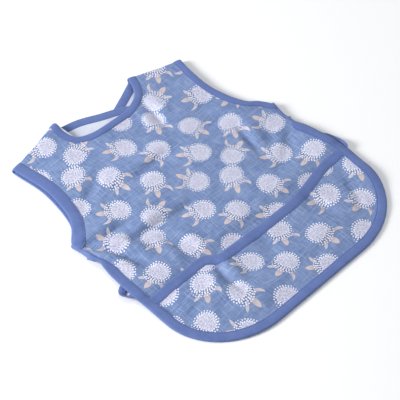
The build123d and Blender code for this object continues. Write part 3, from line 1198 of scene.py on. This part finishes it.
def sweep(name, stations, section, materials, closed=False):
    """Carries a closed section along stations: functions of (inward, outward) in mm."""
    lengths, around = [0.0], [0.0]
    for before, after in zip(stations, stations[1:]):
        lengths.append(lengths[-1] + (after(0, 0) - before(0, 0)).length / MM)
    for (a0, b0), (a1, b1) in zip(section, section[1:]):
        around.append(around[-1] + math.hypot(a1 - a0, b1 - b0))
    last = len(stations) - (0 if closed else 1)

    def where(u, v):
        station = stations[round(v * last) % len(stations)]
        return station(*section[round(u * (len(section) - 1))])

    def flat(u, v):
        along = lengths[min(round(v * last), len(lengths) - 1)]
        return Vector((around[round(u * (len(section) - 1))], along))

    piece = grid_piece(name, len(section) - 1, last, where, flat, materials, weld=True)
    bm = bmesh.new()
    bm.from_mesh(piece.data)
    bmesh.ops.holes_fill(bm, edges=[e for e in bm.edges if e.is_boundary], sides=0)
    bmesh.ops.recalc_face_normals(bm, faces=bm.faces)
    bm.to_mesh(piece.data)
    bm.free()
    return piece, lengths


print("binding is", SECTION[0][0], "mm wide with", len(SECTION) - 1, "faces round")

# %% [markdown]
# ### Stitches
# A lockstitch shows as a row of short thread beads, one every 3 mm on such a bib, that
# press into the tape. Each is a small round solid of 20 faces, made long and flat and
# laid along the tape. Two rows are sewn, one on each face of the cloth.

# %% Stitches
STITCH_PITCH = 3.2                # mm from one stitch to the next
STITCH_SIZE = (1.2, 0.42, 0.32)   # half its length, width and height in mm


def add_stitches(piece, stations, lengths, rows):
    """Sews along the stations. Each row is a place (inward, outward) on the section."""
    bm = bmesh.new()
    bm.from_mesh(piece.data)
    for a, b in rows:
        goal = STITCH_PITCH
        for i in range(1, len(stations)):
            while goal < lengths[i]:
                t = (goal - lengths[i - 1]) / max(lengths[i] - lengths[i - 1], 1e-6)
                start, end = stations[i - 1](a, b), stations[i](a, b)
                line = (end - start).normalized()
                turn_to = line.to_track_quat("X", "Z").to_matrix().to_4x4()
                shape = Matrix.Translation(start.lerp(end, t)) @ turn_to
                shape = shape @ Matrix.Diagonal([half * MM for half in STITCH_SIZE] + [1])
                made = bmesh.ops.create_icosphere(bm, subdivisions=1, radius=1, matrix=shape)
                for face in {f for v in made["verts"] for f in v.link_faces}:
                    face.material_index = 1
                    face.smooth = True
                goal += STITCH_PITCH
    bm.to_mesh(piece.data)
    bm.free()


print("a stitch every", STITCH_PITCH, "mm")

# %% [markdown]
# ### Binding an edge
# `bind` sweeps the section, sews it and says how much tape it took. The tape may be
# narrower over some stations at an end, where it tucks under. `plan_stations` makes the
# stations for a line drawn on a cloth.

# %% Binding an edge
def bind(name, stations, closed=False, wide=1.0, ends=((1.0, 0, 1), (1.0, 0, 1))):
    """Bias tape over an edge. Each end of ends is a narrower share of the width, and the
    stations from that end over which it grows to the full width."""
    count = len(stations)

    def width(i):
        (start, s0, s1), (end, e0, e1) = ends
        at_start, at_end = smooth(s0, s1, i), smooth(e0, e1, count - 1 - i)
        return wide * min(mix(start, 1, at_start), mix(end, 1, at_end))

    scaled = [lambda a, b, s=s, w=width(i): s(a * w if a > 0 else a, b) for i, s in enumerate(stations)]
    piece, lengths = sweep(name, scaled, SECTION, [tape, thread], closed)
    add_stitches(piece, scaled, lengths, [(STITCH_IN, 0.5), (STITCH_IN, -0.55)])
    print(name, round(lengths[-1]), "mm of tape")
    return piece


def plan_stations(spots, surface, inward_of=1.0):
    """Stations along a line of spots, on a surface given as surface(x, y, b)."""
    stations = []
    for i, spot in enumerate(spots):
        before, after = spots[max(i - 1, 0)], spots[min(i + 1, len(spots) - 1)]
        line = (after - before).normalized()
        inward = Vector((-line.y, line.x)) * inward_of

        def station(a, b, spot=spot, inward=inward):
            at = spot + inward * a
            return surface(at.x, at.y, b)

        stations.append(station)
    return stations


def steps(count, low=0.0, high=1.0):
    return [mix(low, high, i / (count - 1)) for i in range(count)]


# %% [markdown]
# ## The hem and side binding
# One tape runs down the left side, along the hem and up the right side. It starts and
# ends at the underarms, where the cloth rolls under: the tape turns with it, so that only
# a narrow strip of it shows along the outside of the roll. Lower down it also holds the
# pocket's edge, and stands a little higher.

# %% Hem and side binding
HEM_TAPE_TO = 0.55
side_shares = steps(128, HEM_TAPE_TO, 0)
hem_line = [left_edge(v) for v in side_shares]
hem_line += [hem_edge(u) for u in steps(60)[1:-1]]
hem_line += [right_edge(v) for v in reversed(side_shares)]


def hem_surface(x, y, b):
    """The front's edge, with the pocket's edge on it lower down, 0.9 mm more of cloth."""
    over_pocket = 1 - smooth(132, 140, y)
    return front_point(x, y, b + 0.2 + (0.9 * over_pocket if b > 0 else -0.2))


ROLL_RADIUS = 2.8              # mm
TURN_FROM = ROLL_SHARE - 0.03  # the tape begins to turn under here
MOST_TURN = 1.45               # radians, just less than a quarter turn each way


def over_roll(side, share, flat_station):
    """Where the cloth rolls under, the tape's fold follows the outside of the roll."""
    t = (ARMHOLE_SHARE - share) / (ARMHOLE_SHARE - ROLL_SHARE)
    rolled = smooth(TURN_FROM, ROLL_SHARE + 0.012, share)

    def station(a, b):
        turn = min(max(a, 0) / ROLL_RADIUS, MOST_TURN)
        angle = math.pi / 2 + (turn if b < 0 else -turn)
        on_roll = underarm_roll(side, t, angle, CLOTH / 2 + max(abs(b), -a) * 0.8)
        return flat_station(a, b).lerp(on_roll, rolled)

    return station


hem_stations = plan_stations(hem_line, hem_surface)
for i, share in enumerate(side_shares):
    if share > TURN_FROM:
        hem_stations[i] = over_roll("left", share, hem_stations[i])
        hem_stations[-1 - i] = over_roll("right", share, hem_stations[-1 - i])
hem_ends = ((0.3, 22, 38), (0.3, 15, 30))  # a third of its width over the rolls
hem_binding = bind("hem_binding_tape", hem_stations, wide=1.05, ends=hem_ends)
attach(hem_binding, "front")
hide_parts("hem_binding")

# %% [markdown]
# ## The binding of the pocket's mouth
# The same tape along the mouth, on the pocket's cloth alone. Both its ends disappear
# under the side binding.

# %% Pocket mouth binding
mouth_line = [pocket_mouth(u) for u in steps(150, 0.985, 0.015)]
pocket_binding = bind("pocket_binding_tape", plan_stations(mouth_line, pocket_point), wide=1.1)
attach(pocket_binding, "front")
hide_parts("pocket_binding")

# %% [markdown]
# ## The neck binding
# On the real bib one tape goes round the neck and on along both back panels. It is made
# in three parts, because the flaps bend away where they meet the neck. This part starts
# under the left shoulder fold, follows the neckline and ends under the right one.

# %% Neck binding
def fold_station(side, angle):
    """Round the shoulder fold at the neck: inward is along the shoulder."""
    return lambda a, b: shoulder_fold(side, a / shoulder_length(side), angle, b)


neck_line = [top_edge(u) for u in steps(90, NECK_FROM, NECK_TO)]
half_turn = [math.pi * t for t in steps(12)]
neck_stations = [fold_station("left", angle) for angle in reversed(half_turn)]
neck_stations += plan_stations(neck_line, front_point, inward_of=-1.0)[3:-3]
neck_stations += [fold_station("right", angle) for angle in half_turn]
neck_binding = bind("neck_binding_tape", neck_stations, wide=0.82)
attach(neck_binding, "front")
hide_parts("neck_binding")

# %% [markdown]
# ## The flap and armhole bindings
# The flap's tape follows the inner and the low edge of a back panel. The armhole's tape
# is a closed ring: up the front, over the shoulder fold, down the back and round the
# underarm roll to where it began. The left one is pressed flatter, so it shows wider.

# %% Flap and armhole bindings
def flap_stations(side):
    inner, _, low, _ = back_edges(side)
    line = [spline(inner, t) for t in steps(90)] + [spline(low, t) for t in steps(70)[1:]]
    turn = BACK[side]["sign"]
    return plan_stations(line, lambda x, y, b: back_point(side, x, y, b), inward_of=turn)


def armhole_stations(side):
    turn = BACK[side]["sign"]
    edge = BACK[side]["edge"]
    _, outer, _, _ = back_edges(side)
    front_line = [edge(v) for v in steps(80, ARMHOLE_SHARE, 1)]
    back_line = [spline(outer, t) for t in steps(70, 0, 0.75)]
    stations = plan_stations(front_line, front_point, inward_of=turn)
    across = shoulder_length(side)
    stations += [
        lambda a, b, angle=angle: shoulder_fold(side, 1 - a / across, angle, b) for angle in half_turn[1:-1]
    ]
    stations += plan_stations(back_line, lambda x, y, b: back_point(side, x, y, b), inward_of=-turn)
    roll_run = (roll_spot(side, 1) - roll_spot(side, 0)).length
    stations += [
        lambda a, b, angle=angle: underarm_roll(side, a / roll_run, angle, b)
        for angle in reversed(half_turn[1:-1])
    ]
    return stations


ARMHOLE_WIDE = {"left": 1.25, "right": 0.8}
for side in BACK:
    flap_tape = bind(f"flap_binding_tape_{side}", flap_stations(side))
    across_crease(flap_tape, side)
    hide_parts(f"flap_binding_{side}")
    name, wide = f"armhole_binding_tape_{side}", ARMHOLE_WIDE[side]
    armhole_tape = bind(name, armhole_stations(side), closed=True, wide=wide)
    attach(armhole_tape, "front")
    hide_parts(f"armhole_binding_{side}")

# %% [markdown]
# ## Ties
# A tie is a strip of the same tape, folded shut and sewn along one edge, 10 mm wide and
# about 220 mm long. Each is caught under the side binding, comes out beside the body,
# curls over and runs back in under the front. A strip can't bend sideways, so where it
# turns it must roll over: each station has its own direction for the width.

# %% Shape of the ties
TIE_SECTION = [
    (-5.0, 0.25), (-4.6, 0.62), (-3.6, 0.5), (0.0, 0.75), (3.5, 0.72), (4.7, 0.6), (5.0, 0.0),
    (4.7, -0.55), (0.0, -0.6), (-3.6, -0.5), (-4.6, -0.55), (-5.0, -0.2), (-5.0, 0.25),
]
# Each point of the run and the direction of the width there: x outward, y, z, in mm.
TIE_RUNS = {
    "left": [
        ((162, 174, 1.6), (0, 1, 0)), ((176, 172.5, 1.6), (0.1, 1, 0)), ((184, 168.5, 1.7), (0.5, 0.9, 0.1)),
        ((188.3, 163.0, 2.6), (0.8, 0.35, 0.55)), ((188.0, 157.5, 4.4), (0.55, -0.3, 0.75)),
        ((183.5, 153.0, 4.8), (0.1, -0.9, 0.45)), ((176, 150.5, 3.4), (0, -1, 0.1)),
        ((166, 150, 2.2), (0, -1, 0)), ((120, 150.5, 1.9), (0, -1, 0)), ((60, 151.5, 1.9), (0, -1, 0)),
        ((8, 150.5, 1.9), (0, -1, 0)),
    ],
    "right": [
        ((162, 174, 1.6), (0, 1, 0)), ((174, 171, 1.6), (0.2, 1, 0)), ((181, 162, 1.7), (0.7, 0.7, 0.1)),
        ((183.5, 150, 2.6), (0.9, 0.2, 0.45)), ((185.2, 139, 4.0), (0.6, 0.0, 0.8)),
        ((184.0, 131, 4.2), (0.2, -0.8, 0.6)), ((176, 127.5, 3.0), (0, -1, 0.1)),
        ((166, 128, 2.2), (0, -1, 0)), ((130, 136, 1.9), (0.1, -1, 0)), ((70, 143, 1.9), (0.1, -1, 0)),
        ((16, 146, 1.9), (0, -1, 0)),
    ],
}
TIE_STATIONS = 150


def tie_stations(side):
    """Stations along one tie, each with its own direction for the width."""
    sign = BACK[side]["sign"]
    points = [Vector((sign * x, y, z)) for (x, y, z), _ in TIE_RUNS[side]]
    widths = [Vector((sign * x, y, z)) for _, (x, y, z) in TIE_RUNS[side]]
    stations = []
    for t in steps(TIE_STATIONS, 0.001, 0.999):
        at, line = spline(points, t), (spline(points, t + 0.001) - spline(points, t - 0.001)).normalized()
        width = spline(widths, t)
        width = (width - line * width.dot(line)).normalized()
        normal = line.cross(width) * -sign

        def station(a, b, at=at, width=width, normal=normal):
            spot = at + width * a + normal * b
            return place(spot.x, spot.y, max(spot.z, 0.1))

        stations.append(station)
    return stations


print("each tie's run has", len(TIE_RUNS["left"]), "chosen points")

# %% [markdown]
# ### Making the ties
# Each tie is only put in place: its placement is baked into its mesh, and it does not
# turn about its fold beside the sewn end. It is a folded sheet, so its flat size is its
# width and the length of its middle line.

# %% Make the ties
for side in BACK:
    stations = tie_stations(side)
    tie, tie_lengths = sweep(f"tie_tape_{side}", stations, TIE_SECTION, [tape, thread])
    add_stitches(tie, stations, tie_lengths, [(-4.1, 0.5), (-4.1, -0.5)])
    hinge = Vector(joint(f"tie_{side}_swing")["pos_m"])
    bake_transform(tie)
    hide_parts(f"tie_stub_{side}", f"tie_{side}")
    print(tie.name, round(tie_lengths[-1]), "mm long")

# %% [markdown]
# ## The closure
# Two nylon patches close the bib at the nape. They are stiff, flat and well described by
# their CAD shape, so they keep it, and only get a better finish.

# %% Closure tapes keep their CAD shape
for patch, finish in (("closure_hook_patch", hook_tape), ("closure_loop_patch", loop_tape)):
    for slot in frame["nodes"][patch].material_slots:
        slot.material = finish

# %% [markdown]
# ## The end

# %% Finish
for side in BACK:
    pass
